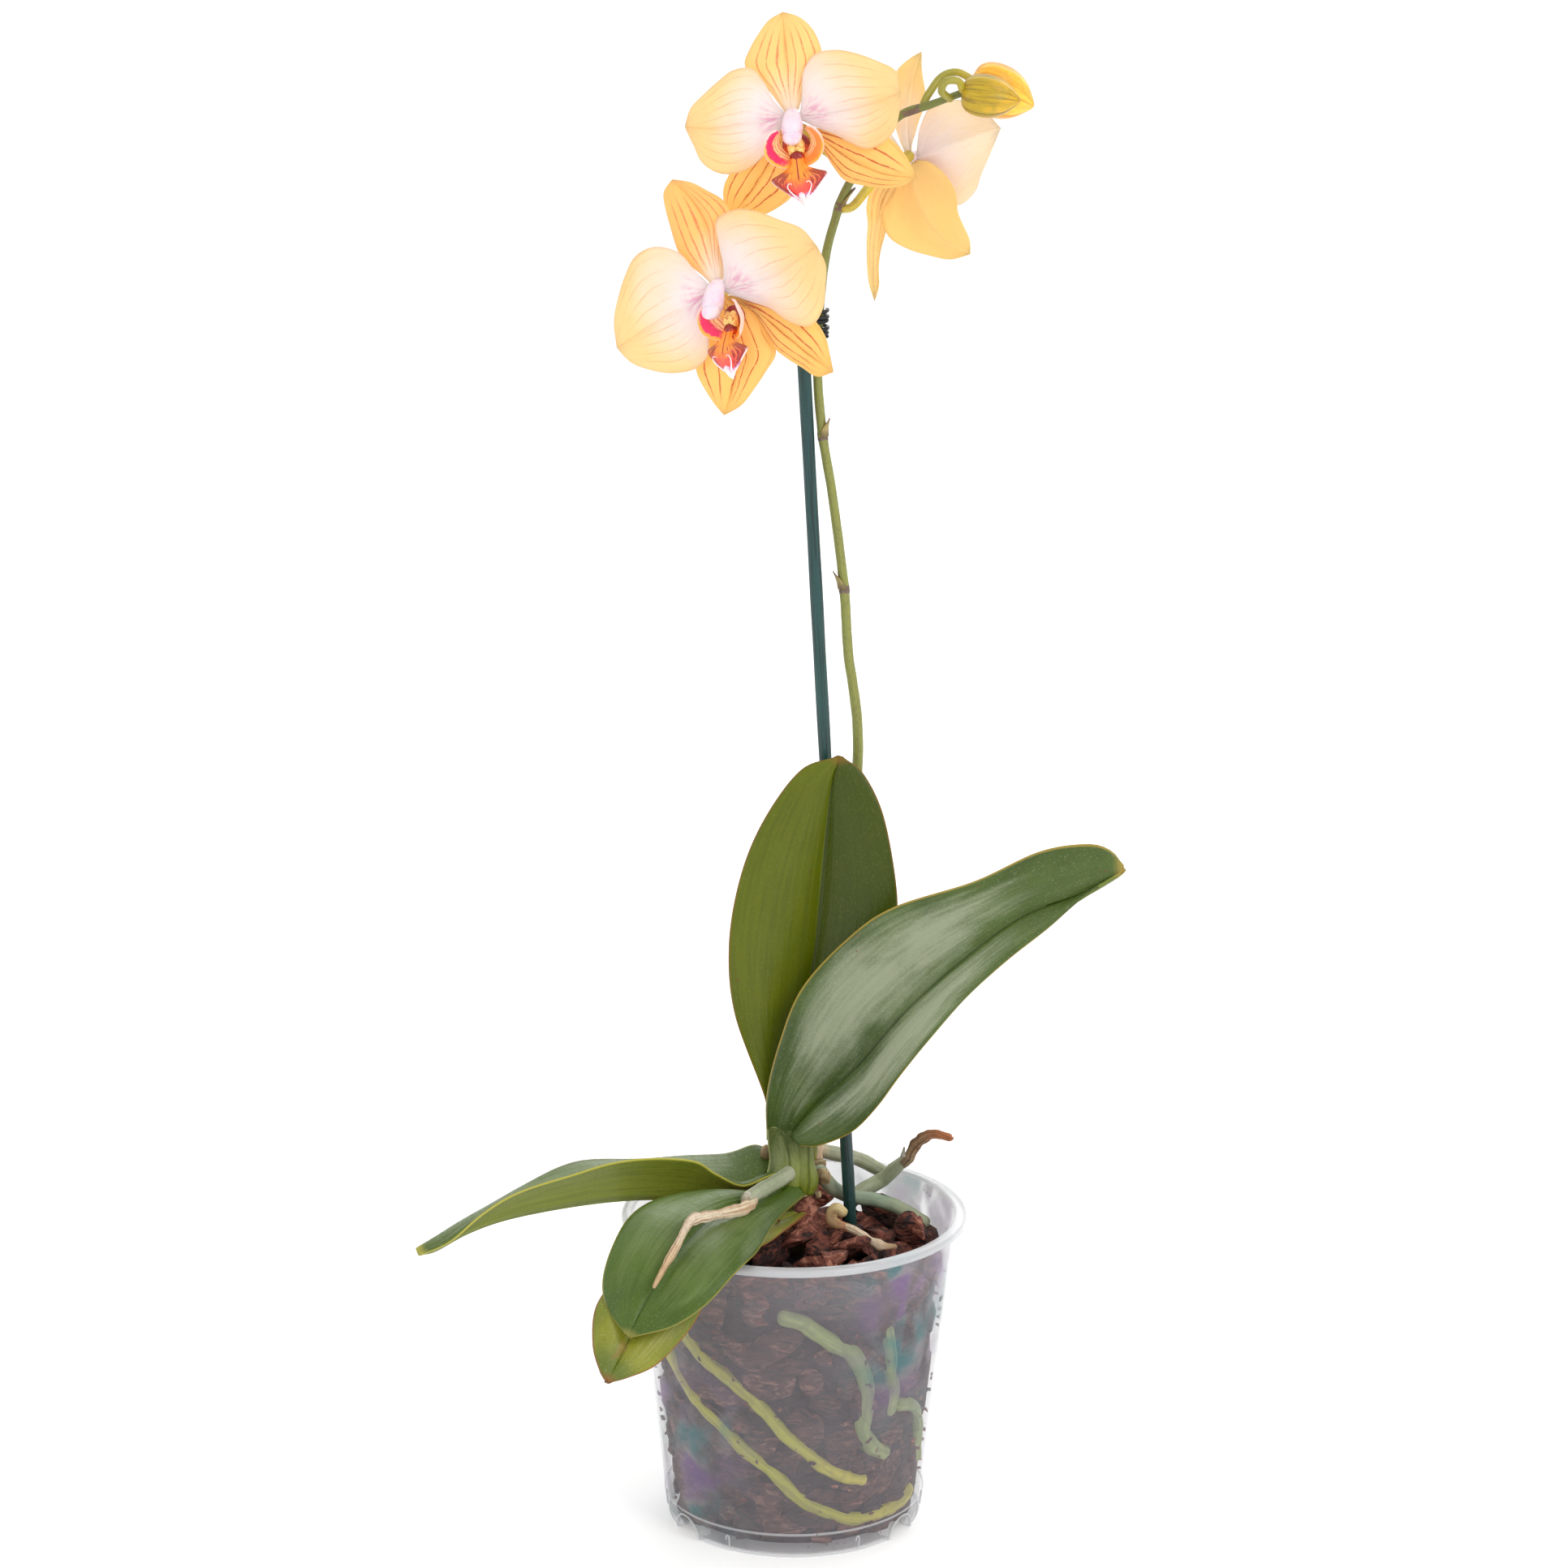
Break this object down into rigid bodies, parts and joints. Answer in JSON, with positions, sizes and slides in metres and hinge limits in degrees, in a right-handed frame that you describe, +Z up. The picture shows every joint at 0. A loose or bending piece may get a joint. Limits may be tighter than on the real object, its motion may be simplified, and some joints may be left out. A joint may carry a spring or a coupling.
{
  "type": "potted moth orchid",
  "caption": "Moth orchid in a clear nursery pot of bark: staked flower spike with open blooms and curled buds above broad arching leaves and trailing roots.",
  "frame": {"origin": "middle of the flat pad under the pot, on the surface it stands on", "axes": "+Z up along the pot's axis; -Y towards the side the flowers face; +X to the right as seen from that side"},
  "size_m": [0.2424, 0.1622, 0.5205],
  "materials": {
    "bark": "matte",
    "bud_olive": "satin",
    "bud_yellow": "satin",
    "clear_plastic": "gloss",
    "column_white": "satin",
    "crown_green": "satin",
    "dry_tan": "matte",
    "leaf_green": "satin",
    "lip_red": "satin",
    "pedicel_green": "satin",
    "petal_yellow": "matte",
    "root_grey": "matte",
    "sepal_orange": "matte",
    "stake_green": "satin",
    "stem_green": "satin",
    "wire": "satin"
  },
  "bodies": {
    "root": {"aerial_root_front": "dry_tan", "aerial_root_loop": "root_grey", "aerial_root_over_leaf": "dry_tan", "aerial_root_raised": "dry_tan", "aerial_root_right": "root_grey", "bark_bed": "bark", "bark_chip_front": "bark", "bark_chip_rear": "bark", "bark_chip_rear_left": "bark", "bark_chip_right": "bark", "bark_chip_right_rear": "bark", "bud_older": "bud_yellow", "bud_older_pedicel": "pedicel_green", "bud_younger": "bud_olive", "bud_younger_pedicel": "pedicel_green", "crown": "crown_green", "flower_low_column": "column_white", "flower_low_dorsal_sepal": "sepal_orange", "flower_low_left_petal": "petal_yellow", "flower_low_left_sepal": "sepal_orange", "flower_low_lip": "lip_red", "flower_low_pedicel": "pedicel_green", "flower_low_right_petal": "petal_yellow", "flower_low_right_sepal": "sepal_orange", "flower_rear_column": "column_white", "flower_rear_dorsal_sepal": "sepal_orange", "flower_rear_left_petal": "petal_yellow", "flower_rear_left_sepal": "sepal_orange", "flower_rear_lip": "lip_red", "flower_rear_pedicel": "pedicel_green", "flower_rear_right_petal": "petal_yellow", "flower_rear_right_sepal": "sepal_orange", "flower_spike": "stem_green", "flower_top_column": "column_white", "flower_top_dorsal_sepal": "sepal_orange", "flower_top_left_petal": "petal_yellow", "flower_top_left_sepal": "sepal_orange", "flower_top_lip": "lip_red", "flower_top_pedicel": "pedicel_green", "flower_top_right_petal": "petal_yellow", "flower_top_right_sepal": "sepal_orange", "leaf_front_left": "leaf_green", "leaf_left": "leaf_green", "leaf_lowest": "leaf_green", "leaf_right": "leaf_green", "leaf_upright": "leaf_green", "pot": "clear_plastic", "pot_root_bent": "root_grey", "pot_root_long": "root_grey", "pot_root_low": "root_grey", "pot_root_short": "root_grey", "pot_root_side": "root_grey", "pot_root_stub": "root_grey", "spike_bract_low": "dry_tan", "spike_bract_middle": "dry_tan", "spike_bract_upper": "dry_tan", "stem_tie": "wire", "support_stake": "stake_green"}
  },
  "joints": []
}
